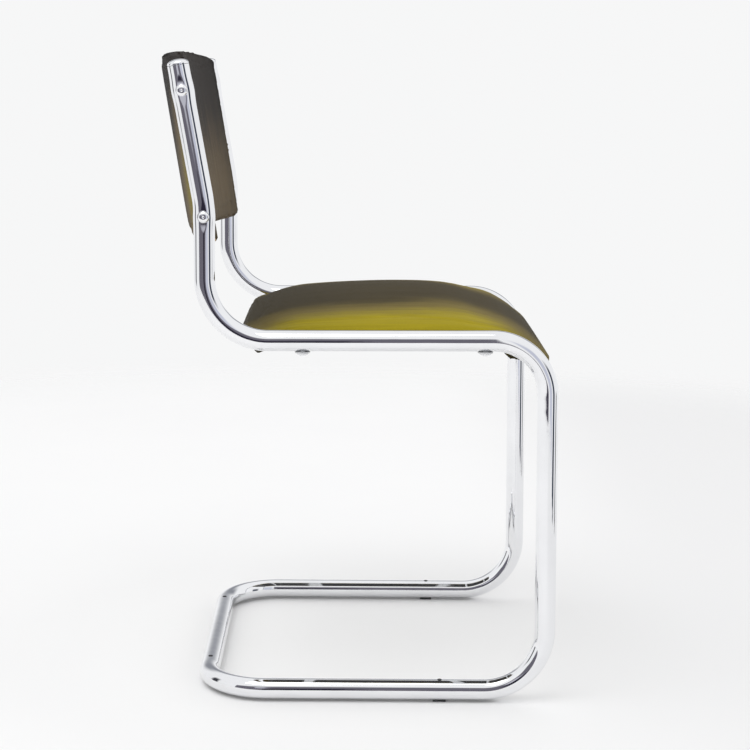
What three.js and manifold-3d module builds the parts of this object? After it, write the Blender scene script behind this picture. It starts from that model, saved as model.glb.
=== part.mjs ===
// Cantilever side chair in bent steel tube, with an upholstered seat and backrest.
// Millimetres, +X towards the front of the chair, +Y towards its left side, +Z up.

import * as THREE from 'three';
import { mergeVertices } from 'three/addons/utils/BufferGeometryUtils.js';
import Module from 'manifold-3d';

const wasm = await Module();
wasm.setup();

const degrees = Math.PI / 180;
const quarterTurn = 90 * degrees;
const halfTurn = 180 * degrees;
const fullTurn = 360 * degrees;

// Frame tube
const tubeDiameter = 25;
const tubeWall = 2;
const railSpacing = 428;
const floorRailLength = 413;
const legLean = 0.8 * degrees;
const seatRailHeight = 430.8;
const seatRailLength = 405.5;
const seatRailRise = 0.4 * degrees;
const lowerPostHeight = 158.5;
const postTopRise = 28.7;
const backLean = 10.2 * degrees;
const bendRadius = 74;
const kneeBendRadius = 65;
const backBendRadius = 130;

// Post caps and the sleeve in the crossbar
const capDomeHeight = 5.2;
const capRimHeight = 1.6;
const capPlugLength = 16;
const capPlugWall = 2;
const sleeveLength = 120;
const sleeveWall = 1.5;

// Floor glides
const glideLength = 16;
const glideWidth = 9;
const glideThickness = 1.7;
const glidePinDiameter = 6;
const rearGlideOffset = 129;
const railGlideSetback = 128;

// Seat
const padRearSetback = 38;
const padNoseAngle = 64 * degrees;
const padSideHeight = 20.5;
const padCrown = 16;
// From the pad's rear edge to its nose: shares of its length, of its side height and of its crown
const padProfileShares = [
  [0, 0.29, 0.06], [0.045, 0.46, 0.28], [0.112, 0.7, 0.5], [0.245, 0.88, 0.78], [0.522, 1, 1],
  [0.698, 0.93, 0.81], [0.807, 0.61, 0.44], [0.852, 0.49, 0.31], [0.897, 0.42, 0.26],
  [0.943, 0.51, 0.31], [1, 0.67, 0.41],
];
const padSideRoundPower = 7;
const padRearCornerPower = 7;
const padNoseCornerPower = 12;
const padSteps = [32, 14, 4];
const padSideWaist = 1.5;
const padWallThickness = 4;
const seatBoardThickness = 11;
const seatBoardNoseAngle = 46 * degrees;
const seatBoardCorner = 56;
const coverThickness = 1;
const coverMargin = 12;
const coverCorner = 46;
const coverNoseAngle = 34 * degrees;

// Cross straps under the seat
const strapWidth = 18;
const strapThickness = 2;
const rearStrapPlace = 115;
const frontStrapSetback = 74.5;
const strapScrewHeadDiameter = 13;
const strapScrewHeadHeight = 1.8;
const strapScrewDiameter = 5;
const strapScrewLength = 15;
const rivetNutDiameter = 8;
const rivetNutCollarDiameter = 10;
const rivetNutFlangeHeight = 1.2;
const rivetNutLength = 11;
const boardScrewOffset = 120;
const boardScrewDiameter = 4;
const boardScrewHeadDiameter = 8;
const boardScrewHeadHeight = 1.8;
const boardScrewLength = 12;

// Backrest
const backrestHeight = 223;
const backrestArch = 10;
const backrestSagitta = 24;
const backrestBoardThickness = 12;
const backrestBoardMargin = 6;
const frontPadThickness = 9.5;
const frontPadEndThickness = 2.6;
const rearPadThickness = 8;
const rearPadEndThickness = 4;
const backrestEdgePadding = 3;
const backrestEdgePower = 10;
const backrestCornerPower = 14;
const backrestSteps = [24, 12, 4];
const lowerScrewDrop = 12.2;
const lowerScrewInset = 38.5;
const upperScrewInset = 37.5;
const backrestScrewDiameter = 5;
const backrestScrewHeadDiameter = 14;
const backrestScrewHeadHeight = 3.4;
const backrestScrewReach = 12;
const socketWidth = 4;
const socketDepth = 2;
const insertDiameter = 7.4;
const insertLength = 12;

// Clearances and facets
const fitGap = 0.3;
const soft = 0.6;
const overrun = 2;
const tubeSides = 20;
const boreSides = 12;
const roundSides = 20;
const smallSides = 12;
const hexSides = 6;
const cornerSteps = 6;
const saddleSteps = 8;
const windowSteps = 12;
const bandSteps = 16;
const bendStep = 11.25 * degrees;
const leastBendSteps = 2;
const mergeTolerance = 1e-4;

const tubeRadius = tubeDiameter / 2;
const boreRadius = tubeRadius - tubeWall;
const boreFlatRadius = boreRadius * Math.cos(halfTurn / boreSides);
const tubeFlatRadius = tubeRadius * Math.cos(halfTurn / tubeSides);
const railOffset = railSpacing / 2;
const sides = { right: -1, left: 1 };

const chrome = { color: 0xd9dbe0, roughness: 0.08, metalness: 1 };
const zinc = { color: 0xb5b7ba, roughness: 0.35, metalness: 1 };
const blackPlastic = { color: 0x1a1a1c, roughness: 0.5, metalness: 0 };
const plywood = { color: 0xb98f5e, roughness: 0.6, metalness: 0 };
const oliveCloth = { color: 0x8f8526, roughness: 0.85, metalness: 0 };
const brownCloth = { color: 0x4a4338, roughness: 0.85, metalness: 0 };
const blackCloth = { color: 0x202020, roughness: 0.95, metalness: 0 };

// A closed mesh, as a solid that can be joined and cut
function solidFrom(geometry) {
  const bare = geometry.clone();
  bare.deleteAttribute('normal');
  bare.deleteAttribute('uv');
  const merged = mergeVertices(bare, mergeTolerance);
  return new wasm.Manifold(new wasm.Mesh({
    numProp: 3,
    vertProperties: new Float32Array(merged.attributes.position.array),
    triVerts: new Uint32Array(merged.index.array),
  }));
}

function geometryFrom(solid) {
  const mesh = solid.getMesh();
  const geometry = new THREE.BufferGeometry();
  geometry.setAttribute('position', new THREE.BufferAttribute(mesh.vertProperties, 3));
  geometry.setIndex(new THREE.BufferAttribute(mesh.triVerts, 1));
  geometry.computeVertexNormals();
  return geometry;
}

function cut(geometry, cutters) {
  let solid = solidFrom(geometry);
  for (const cutter of cutters) solid = solid.subtract(solidFrom(cutter));
  return geometryFrom(solid);
}

function namedMesh(name, geometry, finish) {
  const mesh = new THREE.Mesh(geometry, new THREE.MeshStandardMaterial(finish));
  mesh.name = name;
  return mesh;
}

// A round bar between two points, used as a drill
function drill(diameter, start, end) {
  const along = new THREE.Vector3().subVectors(end, start);
  const radius = diameter / 2;
  const bar = new THREE.CylinderGeometry(radius, radius, along.length(), smallSides);
  const turn = new THREE.Quaternion().setFromUnitVectors(
    new THREE.Vector3(0, 1, 0), along.clone().normalize());
  bar.applyQuaternion(turn);
  bar.translate(...start.clone().add(end).multiplyScalar(1 / 2));
  return bar;
}

// A turned piece: pairs of radius and height, with its axis along +Z
function turned(profile, segments) {
  const points = profile.map(([radius, height]) => new THREE.Vector2(radius, height));
  const body = new THREE.LatheGeometry(points, segments);
  body.rotateX(quarterTurn);
  return body;
}

// The points of a regular polygon with a flat facing each axis
function polygon(radius, count) {
  const points = [];
  for (let i = 0; i < count; i += 1) {
    const angle = (i + 1 / 2) * fullTurn / count;
    points.push(new THREE.Vector2(radius * Math.cos(angle), radius * Math.sin(angle)));
  }
  return points;
}

// The centre line of a bent tube: straight runs joined by arcs, one station where each run
// ends and one at every step round a bend
class BentTubeLine extends THREE.Curve {
  constructor(corners, radii) {
    super();
    this.stations = [];
    const last = corners.length - 1;
    corners.forEach((corner, i) => {
      if (i === 0 || i === last) {
        const [from, to] = i === 0 ? [corner, corners[1]] : [corners[last - 1], corner];
        this.stations.push({ point: corner, tangent: to.clone().sub(from).normalize() });
        return;
      }
      this.addBend(corner.clone().sub(corners[i - 1]).normalize(), corner,
        corners[i + 1].clone().sub(corner).normalize(), radii[i]);
    });
  }

  addBend(before, corner, after, radius) {
    const turn = before.angleTo(after);
    const axis = before.clone().cross(after).normalize();
    const inward = axis.clone().cross(before);
    const start = corner.clone().addScaledVector(before, -radius * Math.tan(turn / 2));
    const centre = start.clone().addScaledVector(inward, radius);
    const steps = Math.max(leastBendSteps, Math.round(turn / bendStep));
    for (let i = 0; i <= steps; i += 1) {
      const angle = turn * i / steps;
      this.stations.push({
        point: start.clone().sub(centre).applyAxisAngle(axis, angle).add(centre),
        tangent: before.clone().applyAxisAngle(axis, angle),
      });
    }
  }

  get steps() {
    return this.stations.length - 1;
  }

  blend(t, key, target) {
    const place = t * this.steps;
    const first = Math.min(Math.floor(place), this.steps - 1);
    return target.lerpVectors(this.stations[first][key], this.stations[first + 1][key], place - first);
  }

  getPoint(t, target = new THREE.Vector3()) {
    return this.blend(t, 'point', target);
  }

  getTangent(t, target = new THREE.Vector3()) {
    return this.blend(t, 'tangent', target).normalize();
  }

  getUtoTmapping(u) {
    return u;
  }
}

// Corners of the side frame, seen from the side, from the crossbar to the post top.
// The crossbar's centre line is x = 0, z = 0.
const kneeCorner = new THREE.Vector2(
  floorRailLength - seatRailHeight * Math.tan(legLean), seatRailHeight);
const seatRearCorner = new THREE.Vector2(
  kneeCorner.x - seatRailLength * Math.cos(seatRailRise),
  kneeCorner.y - seatRailLength * Math.sin(seatRailRise));
const backCorner = new THREE.Vector2(seatRearCorner.x, seatRearCorner.y + lowerPostHeight);

// The backrest's screws stand at set distances from its edges. The lower one is just under the
// post's small bend, and the post's top stands a set length above the upper one.
const screwSpacing = backrestHeight - lowerScrewInset - upperScrewInset;
const upperScrewRise = Math.sqrt(screwSpacing ** 2 - (lowerScrewDrop * Math.sin(backLean)) ** 2)
  - lowerScrewDrop * Math.cos(backLean);

// A point on the post's centre line, at a distance up from its small bend
function postPoint(rise) {
  const lean = rise > 0 ? backLean : 0;
  return new THREE.Vector2(backCorner.x - rise * Math.sin(lean), backCorner.y + rise * Math.cos(lean));
}
const postTop = postPoint(upperScrewRise + postTopRise);
const lowerScrewPoint = postPoint(-lowerScrewDrop);
const upperScrewPoint = postPoint(upperScrewRise);

function onSide(point, side, outward = 0) {
  return new THREE.Vector3(point.x, side * (railOffset + outward), point.y);
}

// Places of the holes in the frame tubes; the front strap's is a set length behind the knee
const frontStrapPlace = seatRailLength - frontStrapSetback;
const rearGlidePoint = new THREE.Vector2(0, 0);
const railGlidePoint = new THREE.Vector2(floorRailLength - railGlideSetback, 0);

// The seat's own frame: x along the rails from their rear corner, z square to them
const seatGroup = new THREE.Group();
seatGroup.position.set(seatRearCorner.x, 0, seatRearCorner.y);
seatGroup.rotation.y = -seatRailRise;
seatGroup.updateMatrix();

function sideFrame(side) {
  const seam = side * fitGap / 2;
  const line = new BentTubeLine([
    new THREE.Vector3(0, seam, 0),
    new THREE.Vector3(0, side * railOffset, 0),
    new THREE.Vector3(floorRailLength, side * railOffset, 0),
    onSide(kneeCorner, side),
    onSide(seatRearCorner, side),
    onSide(backCorner, side),
    onSide(postTop, side),
  ], [0, bendRadius, bendRadius, kneeBendRadius, bendRadius, backBendRadius, 0]);
  const section = new THREE.Shape(polygon(tubeRadius, tubeSides));
  section.holes.push(new THREE.Path(polygon(boreRadius, boreSides)));
  const tube = new THREE.ExtrudeGeometry(section, { extrudePath: line, steps: line.steps });

  const drills = [lowerScrewPoint, upperScrewPoint].map((point) => drill(
    backrestScrewDiameter + 2 * fitGap,
    onSide(point, side, -tubeRadius - overrun), onSide(point, side, tubeRadius + overrun)));
  const through = new THREE.Vector3(0, 0, tubeRadius + overrun);
  const glideCentres = [
    new THREE.Vector3(0, side * rearGlideOffset, 0), onSide(railGlidePoint, side)];
  for (const centre of glideCentres) {
    drills.push(drill(glidePinDiameter + 2 * fitGap, centre.clone().sub(through),
      centre.clone().add(through)));
  }
  for (const place of [rearStrapPlace, frontStrapPlace]) {
    const outside = new THREE.Vector3(place, side * railOffset, -tubeRadius - overrun);
    const inside = new THREE.Vector3(place, side * railOffset, 0);
    drills.push(drill(rivetNutDiameter + 2 * fitGap, outside.applyMatrix4(seatGroup.matrix),
      inside.applyMatrix4(seatGroup.matrix)));
  }
  return cut(tube, drills);
}

// A domed cap with a hollow plug that grips the post's bore
function postCap() {
  const plugRadius = boreFlatRadius - fitGap;
  const plugBore = plugRadius - capPlugWall;
  const rim = fitGap + capRimHeight;
  const crownShares = [[1, 0], [0.93, 0.42], [0.78, 0.7], [0.55, 0.88], [0.28, 0.97], [0, 1]];
  const crown = crownShares.map(([out, up]) => [tubeRadius * out, rim + capDomeHeight * up]);
  return turned([
    [0, rim], [plugBore, fitGap], [plugBore, -capPlugLength], [plugRadius, -capPlugLength],
    [plugRadius, fitGap], [tubeRadius, fitGap], ...crown,
  ], roundSides);
}

// The sleeve that joins the two bent halves inside the crossbar
function crossbarSleeve() {
  const outer = boreFlatRadius - fitGap;
  const inner = outer - sleeveWall;
  const half = sleeveLength / 2;
  const body = turned([[inner, -half], [outer, -half], [outer, half], [inner, half], [inner, -half]],
    roundSides);
  body.rotateX(quarterTurn);
  return body;
}

// A floor glide: a saddle under the tube, with a pin through it whose end shows on top
function glide() {
  const under = tubeFlatRadius + fitGap;
  const foot = new THREE.Shape();
  const half = glideWidth / 2;
  const seatRadius = tubeRadius + fitGap;
  foot.moveTo(-half, -under - glideThickness);
  foot.lineTo(half, -under - glideThickness);
  for (let i = 0; i <= saddleSteps; i += 1) {
    const across = half * (1 - 2 * i / saddleSteps);
    foot.lineTo(across, -Math.sqrt(seatRadius ** 2 - across ** 2));
  }
  const saddle = new THREE.ExtrudeGeometry(foot, { depth: glideLength, bevelEnabled: false });
  saddle.translate(0, 0, -glideLength / 2);
  saddle.rotateX(quarterTurn);
  saddle.rotateZ(quarterTurn);
  const pinRadius = glidePinDiameter / 2;
  const pin = turned([[0, -under - glideThickness / 2], [pinRadius, -under - glideThickness / 2],
    [pinRadius, tubeRadius], [0, tubeRadius]], smallSides);
  return geometryFrom(solidFrom(saddle).add(solidFrom(pin)));
}

// Seat mapping: a place along the rails' centre line and a height off it, bent round the knee
const kneeTurn = quarterTurn - legLean + seatRailRise;
const kneeStart = seatRailLength - kneeBendRadius * Math.tan(kneeTurn / 2);
function seatPoint(along, height) {
  const angle = Math.max(0, along - kneeStart) / kneeBendRadius;
  const straight = Math.min(along, kneeStart);
  return new THREE.Vector2(straight + (kneeBendRadius + height) * Math.sin(angle),
    -kneeBendRadius + (kneeBendRadius + height) * Math.cos(angle));
}

// A plate that follows the rails from one place to an angle round the knee
function seatPlate(start, noseAngle, low, high, width) {
  const end = kneeStart + noseAngle * kneeBendRadius;
  const count = Math.ceil(noseAngle / bendStep);
  const places = [start];
  for (let i = 0; i <= count; i += 1) places.push(kneeStart + (end - kneeStart) * i / count);
  const outline = [...places.map((place) => seatPoint(place, low)),
    ...places.reverse().map((place) => seatPoint(place, high))];
  const plate = new THREE.ExtrudeGeometry(new THREE.Shape(outline), { depth: width, bevelEnabled: false });
  plate.rotateX(quarterTurn);
  plate.translate(0, width / 2, 0);
  return plate;
}

const strapTop = -tubeFlatRadius - fitGap;
const coverBottom = strapTop + fitGap;
const boardBottom = coverBottom + coverThickness + fitGap;
const boardTop = boardBottom + seatBoardThickness;
const insideWidth = railSpacing - tubeDiameter;
const padWidth = insideWidth - 2 * soft;
const boardWidth = padWidth - 2 * padWallThickness - 2 * soft;
const boardStart = padRearSetback + padWallThickness + soft;
const padEnd = kneeStart + padNoseAngle * kneeBendRadius;

// The upright cutter that rounds a plate's corners in plan
function roundedPlan(start, end, width, corner) {
  const outline = new THREE.Shape();
  const half = width / 2;
  outline.moveTo(start + corner, -half);
  outline.lineTo(end, -half);
  outline.lineTo(end, half);
  outline.lineTo(start + corner, half);
  outline.absarc(start + corner, half - corner, corner, quarterTurn, halfTurn, false);
  outline.absarc(start + corner, corner - half, corner, halfTurn, halfTurn + quarterTurn, false);
  const depth = 2 * (kneeBendRadius + bendRadius);
  const block = new THREE.ExtrudeGeometry(outline,
    { depth, bevelEnabled: false, curveSegments: cornerSteps });
  block.translate(0, 0, -depth / 2);
  return block;
}

// Drills for the wood screws that hold the board to the straps
function boardScrewDrills(diameter) {
  return [rearStrapPlace, frontStrapPlace].flatMap((place) => Object.values(sides).map((side) => {
    const foot = new THREE.Vector3(place, side * boardScrewOffset, strapTop - strapThickness - overrun);
    return drill(diameter, foot, foot.clone().setZ(strapTop + boardScrewLength + fitGap));
  }));
}

function seatBoard() {
  const plate = seatPlate(boardStart, seatBoardNoseAngle, boardBottom, boardTop, boardWidth);
  const plan = roundedPlan(boardStart, seatRailLength + bendRadius, boardWidth, seatBoardCorner);
  const rounded = solidFrom(plate).intersect(solidFrom(plan));
  return cut(geometryFrom(rounded), boardScrewDrills(boardScrewDiameter + 2 * fitGap));
}

function undersideCover() {
  const width = boardWidth - 2 * coverMargin;
  const plate = seatPlate(boardStart + coverMargin, coverNoseAngle, coverBottom,
    coverBottom + coverThickness, width);
  const plan = roundedPlan(boardStart + coverMargin, seatRailLength + bendRadius, width, coverCorner);
  const rounded = solidFrom(plate).intersect(solidFrom(plan));
  return cut(geometryFrom(rounded), boardScrewDrills(boardScrewDiameter + 2 * fitGap));
}

// A pillow: a box whose faces are rounded off into each other, then shaped by a function of
// its three shares, each from -1 to 1. Higher powers make sharper corners in plan and sharper
// edges; the corners' powers are for the low end and the high end of the first share.
function pillow(counts, cornerPowers, edgePower, shape) {
  const box = new THREE.BoxGeometry(2, 2, 2, ...counts);
  const place = box.attributes.position;
  for (let i = 0; i < place.count; i += 1) {
    const [a, b, c] = [place.getX(i), place.getY(i), place.getZ(i)]
      .map((share) => Math.sin(share * quarterTurn));
    const plan = Math.max(Math.abs(a), Math.abs(b));
    const edge = (plan ** edgePower + Math.abs(c) ** edgePower) ** (1 / edgePower);
    const cornerPower = cornerPowers[a < 0 ? 0 : 1];
    const rim = plan > 0
      ? (Math.abs(a / plan) ** cornerPower + Math.abs(b / plan) ** cornerPower) ** (1 / cornerPower)
      : 1;
    const outer = Math.max(plan, Math.abs(c));
    place.setXYZ(i, ...shape(a * outer / edge / rim, b * outer / edge / rim, c * outer / edge));
  }
  return box;
}

function seatPad() {
  const middle = (padRearSetback + padEnd) / 2;
  const reach = (padEnd - padRearSetback) / 2;
  const [places, sideShares, crownShares] = [0, 1, 2].map(
    (column) => padProfileShares.map((row) => row[column]));
  const sideProfile = new THREE.CubicInterpolant(places, sideShares, 1);
  const crownProfile = new THREE.CubicInterpolant(places, crownShares, 1);
  const powers = [padRearCornerPower, padNoseCornerPower];
  const cushion = pillow(padSteps, powers, padSideRoundPower, (a, b, c) => {
    const share = (1 + a) / 2;
    const top = padSideHeight * sideProfile.evaluate(share)[0]
      + padCrown * crownProfile.evaluate(share)[0] * (1 - b ** 2);
    const point = seatPoint(middle + reach * a, c > 0 ? c * top : -c * boardBottom);
    return [point.x, b * (padWidth / 2 - padSideWaist * (1 - a ** 2)), point.y];
  });
  const pocket = seatPlate(boardStart - soft, seatBoardNoseAngle + soft / kneeBendRadius,
    boardBottom - overrun, boardTop + fitGap, boardWidth + 2 * soft);
  const plan = roundedPlan(boardStart - soft, seatRailLength + bendRadius, boardWidth + 2 * soft,
    seatBoardCorner + soft);
  const roundedPocket = solidFrom(pocket).intersect(solidFrom(plan));
  return geometryFrom(solidFrom(cushion).subtract(roundedPocket));
}

// A flat strap with round ends across the chair, under both rails
function strap() {
  const round = strapWidth / 2;
  const outline = new THREE.Shape();
  outline.absarc(0, railOffset, round, 0, halfTurn, false);
  outline.absarc(0, -railOffset, round, halfTurn, fullTurn, false);
  const bar = new THREE.ExtrudeGeometry(outline,
    { depth: strapThickness, bevelEnabled: false, curveSegments: smallSides / 2 });
  bar.translate(0, 0, strapTop - strapThickness);
  const holes = Object.values(sides).flatMap((side) => [
    [side * railOffset, rivetNutCollarDiameter + 2 * fitGap],
    [side * boardScrewOffset, boardScrewDiameter + 2 * fitGap],
  ]);
  return cut(bar, holes.map(([across, diameter]) => drill(diameter,
    new THREE.Vector3(0, across, strapTop - strapThickness - overrun),
    new THREE.Vector3(0, across, strapTop + overrun))));
}

// A screw that points up, with a domed head below its seat at height zero
const domeShares = [[0, 1], [0.55, 0.9], [0.85, 0.6], [1, 0.2]];
function domeScrew(headDiameter, headHeight, shankDiameter, length, segments) {
  const head = headDiameter / 2;
  const shank = shankDiameter / 2;
  const tip = shank / 2;
  return turned([
    ...domeShares.map(([out, down]) => [head * out, -headHeight * down]),
    [head, 0], [shank, 0], [shank, length - tip], [shank - tip / 2, length], [0, length],
  ], segments);
}

// The threaded bush set in the rail's underside, with its collar spread inside the tube
function rivetNut() {
  const bore = strapScrewDiameter / 2 + fitGap;
  const body = rivetNutDiameter / 2;
  const collar = rivetNutCollarDiameter / 2;
  const wallTop = -boreRadius * Math.cos(Math.asin(collar / boreRadius)) + fitGap;
  const flangeTop = -tubeFlatRadius - fitGap / 2;
  const flangeBottom = flangeTop - rivetNutFlangeHeight;
  const top = flangeBottom + rivetNutLength;
  return turned([
    [bore, flangeBottom], [collar, flangeBottom], [collar, flangeTop], [body, flangeTop],
    [body, wallTop], [collar, wallTop + fitGap], [body, wallTop + rivetNutFlangeHeight + fitGap],
    [body, top], [bore, top], [bore, flangeBottom],
  ], smallSides);
}

// The backrest's own frame: origin midway between its screws, y along its chord, z up its face
const screwLine = new THREE.Vector2().subVectors(upperScrewPoint, lowerScrewPoint);
const backrestLean = Math.atan2(-screwLine.x, screwLine.y);
const backrestGroup = new THREE.Group();
backrestGroup.position.set((upperScrewPoint.x + lowerScrewPoint.x) / 2, 0,
  (upperScrewPoint.y + lowerScrewPoint.y) / 2);
backrestGroup.rotation.y = -backrestLean;
const screwRise = screwSpacing / 2;

const backrestHalf = insideWidth / 2 - soft;
const boardHalf = backrestHalf - backrestEdgePadding - soft;
const backrestRadius = (boardHalf ** 2 + backrestSagitta ** 2) / (2 * backrestSagitta);
const halfAngle = Math.asin(boardHalf / backrestRadius);

// The board's ends stand forward of the screws, so that the inserts' middles are midway
// through the board where it slants
const boardForward = insertLength / 2 * Math.tan(halfAngle);

// A place across the backrest and a depth in front of the board's middle, on its curve
function backrestPoint(across, depth) {
  const angle = across / backrestRadius;
  const forward = backrestRadius + boardForward - backrestSagitta;
  return new THREE.Vector2(forward - (backrestRadius - depth) * Math.cos(angle),
    (backrestRadius - depth) * Math.sin(angle));
}
const boardArc = backrestRadius * halfAngle;
const outerArc = backrestRadius * Math.asin(backrestHalf / backrestRadius);

function archAt(across) {
  return backrestArch * (1 - (across / outerArc) ** 2);
}

// A band that follows the backrest's curve between two depths, for its full height and more
function backrestBand(back, front, halfArc, low, high) {
  const bars = [];
  for (let i = 0; i <= bandSteps; i += 1) bars.push(halfArc * (2 * i / bandSteps - 1));
  const outline = [...bars.map((across) => backrestPoint(across, back)),
    ...bars.reverse().map((across) => backrestPoint(across, front))];
  const band = new THREE.ExtrudeGeometry(new THREE.Shape(outline),
    { depth: high - low, bevelEnabled: false });
  band.translate(0, 0, low);
  return band;
}

// The window that gives the board its arched top and bottom edges, seen from the front
function archedWindow(halfArc, low, high) {
  const bars = [];
  for (let i = 0; i <= windowSteps; i += 1) bars.push(halfArc * (2 * i / windowSteps - 1));
  const place = (across, rise) => new THREE.Vector2(backrestPoint(across, 0).y, rise + archAt(across));
  const outline = [...bars.map((across) => place(across, low)),
    ...bars.reverse().map((across) => place(across, high))];
  const depth = 2 * (backrestSagitta + frontPadThickness + rearPadThickness + backrestBoardThickness);
  const block = new THREE.ExtrudeGeometry(new THREE.Shape(outline), { depth, bevelEnabled: false });
  block.rotateX(quarterTurn);
  block.rotateZ(quarterTurn);
  block.translate(-depth / 2, 0, 0);
  return block;
}

const backrestLow = -screwRise - lowerScrewInset;
const backrestHigh = backrestLow + backrestHeight;

function backrestScrewDrills(diameter, reach) {
  return [screwRise, -screwRise].flatMap((rise) => Object.values(sides).map((side) => drill(diameter,
    new THREE.Vector3(0, side * (railOffset + tubeRadius), rise),
    new THREE.Vector3(0, side * (boardHalf - reach), rise))));
}

function boardBlank(grow) {
  const half = backrestBoardThickness / 2 + grow;
  const low = backrestLow + backrestBoardMargin - grow;
  const high = backrestHigh - backrestBoardMargin + grow;
  const arc = boardArc + grow;
  const band = backrestBand(-half, half, arc, low - backrestArch, high + 2 * backrestArch);
  return solidFrom(band).intersect(solidFrom(archedWindow(arc + overrun, low, high)));
}

function backrestBoard() {
  return cut(geometryFrom(boardBlank(0)),
    backrestScrewDrills(insertDiameter + 2 * fitGap, insertLength + backrestScrewReach / 2));
}

// One half of the padding round the board: face is 1 for the front, -1 for the rear
function backrestPad(face) {
  const half = backrestHeight / 2;
  const middle = (backrestLow + backrestHigh) / 2;
  const powers = [backrestCornerPower, backrestCornerPower];
  const full = pillow(backrestSteps, powers, backrestEdgePower, (a, b, c) => {
    const [centre, end] = c > 0 ? [frontPadThickness, frontPadEndThickness]
      : [rearPadThickness, rearPadEndThickness];
    const depth = c * (backrestBoardThickness / 2 + end + (centre - end) * (1 - a ** 2));
    const across = a * outerArc;
    const point = backrestPoint(across, depth);
    return [point.x, point.y, middle + b * half + archAt(across)];
  });
  const deep = backrestSagitta + backrestBoardThickness;
  const [back, front] = face > 0 ? [fitGap / 2, deep] : [-deep, -fitGap / 2];
  const side = backrestBand(back, front, outerArc + overrun, backrestLow - 2 * backrestArch,
    backrestHigh + 2 * backrestArch);
  let pad = solidFrom(full).intersect(solidFrom(side)).subtract(boardBlank(fitGap));
  for (const hole of backrestScrewDrills(backrestScrewDiameter + 2 * soft, backrestScrewReach)) {
    pad = pad.subtract(solidFrom(hole));
  }
  return geometryFrom(pad);
}

// A screw through the post into the board's end, pointing along +Z, its head's seat at zero
const backrestScrewLength = railOffset + tubeFlatRadius - boardHalf + backrestScrewReach;
function backrestScrew() {
  const screw = domeScrew(backrestScrewHeadDiameter, backrestScrewHeadHeight, backrestScrewDiameter,
    backrestScrewLength, roundSides);
  const socket = new THREE.CylinderGeometry(socketWidth / 2, socketWidth / 2, 2 * socketDepth, hexSides);
  socket.rotateX(quarterTurn);
  socket.translate(0, 0, -backrestScrewHeadHeight);
  return cut(screw, [socket]);
}

// Set back so far that the board's slanting end covers its rim
const insertSetback = insertDiameter / 2 * Math.sin(halfAngle) + fitGap;
function threadedInsert() {
  const outer = insertDiameter / 2;
  const inner = backrestScrewDiameter / 2 + fitGap;
  return turned([[inner, 0], [outer, 0], [outer, insertLength], [inner, insertLength], [inner, 0]],
    smallSides);
}

// Assembly
const chair = new THREE.Group();
const frameGroup = new THREE.Group();
chair.add(frameGroup, seatGroup, backrestGroup);

for (const [sideName, side] of Object.entries(sides)) {
  frameGroup.add(namedMesh(`${sideName}_frame_tube`, sideFrame(side), chrome));

  const cap = namedMesh(`${sideName}_post_cap`, postCap(), chrome);
  cap.position.copy(onSide(postTop, side));
  cap.rotation.y = -backLean;
  frameGroup.add(cap);

  const railGlide = namedMesh(`${sideName}_rail_glide`, glide(), blackPlastic);
  railGlide.position.copy(onSide(railGlidePoint, side));
  const rearGlide = namedMesh(`${sideName}_rear_glide`, glide(), blackPlastic);
  rearGlide.position.set(rearGlidePoint.x, side * rearGlideOffset, rearGlidePoint.y);
  rearGlide.rotation.z = quarterTurn;
  frameGroup.add(railGlide, rearGlide);
}
frameGroup.add(namedMesh('crossbar_sleeve', crossbarSleeve(), zinc));

seatGroup.add(namedMesh('seat_board', seatBoard(), plywood));
seatGroup.add(namedMesh('seat_pad', seatPad(), oliveCloth));
seatGroup.add(namedMesh('seat_underside_cover', undersideCover(), blackCloth));
for (const [strapName, place] of [['rear', rearStrapPlace], ['front', frontStrapPlace]]) {
  const crossStrap = namedMesh(`${strapName}_seat_strap`, strap(), zinc);
  crossStrap.position.x = place;
  seatGroup.add(crossStrap);
  for (const [sideName, side] of Object.entries(sides)) {
    const railScrew = namedMesh(`${sideName}_${strapName}_strap_screw`, domeScrew(
      strapScrewHeadDiameter, strapScrewHeadHeight, strapScrewDiameter, strapScrewLength,
      smallSides), chrome);
    railScrew.position.set(place, side * railOffset, strapTop - strapThickness - fitGap);
    const nut = namedMesh(`${sideName}_${strapName}_rivet_nut`, rivetNut(), zinc);
    nut.position.set(place, side * railOffset, 0);
    const boardScrew = namedMesh(`${sideName}_${strapName}_board_screw`, domeScrew(
      boardScrewHeadDiameter, boardScrewHeadHeight, boardScrewDiameter, boardScrewLength,
      smallSides), zinc);
    boardScrew.position.set(place, side * boardScrewOffset, strapTop - strapThickness - fitGap);
    seatGroup.add(railScrew, nut, boardScrew);
  }
}

backrestGroup.add(namedMesh('backrest_board', backrestBoard(), plywood));
backrestGroup.add(namedMesh('backrest_front_pad', backrestPad(1), brownCloth));
backrestGroup.add(namedMesh('backrest_rear_pad', backrestPad(-1), brownCloth));
for (const [sideName, side] of Object.entries(sides)) {
  for (const [level, rise] of [['upper', screwRise], ['lower', -screwRise]]) {
    const screw = namedMesh(`${sideName}_${level}_backrest_screw`, backrestScrew(), chrome);
    screw.position.set(0, side * (railOffset + tubeRadius + fitGap), rise);
    screw.rotation.x = side * quarterTurn;
    const insert = namedMesh(`${sideName}_${level}_insert`, threadedInsert(), zinc);
    insert.position.set(0, side * (boardHalf - insertSetback), rise);
    insert.rotation.x = side * quarterTurn;
    backrestGroup.add(screw, insert);
  }
}

// Origin: the middle of the chair's footprint, on the floor
const reach = new THREE.Box3().setFromObject(chair);
const middle = reach.getCenter(new THREE.Vector3());
chair.position.set(-middle.x, -middle.y, -reach.min.z);
chair.updateMatrixWorld(true);

export default chair;
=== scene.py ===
import math

import bmesh
import bpy
from mathutils import Matrix, Vector, noise
from mathutils.bvhtree import BVHTree


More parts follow.
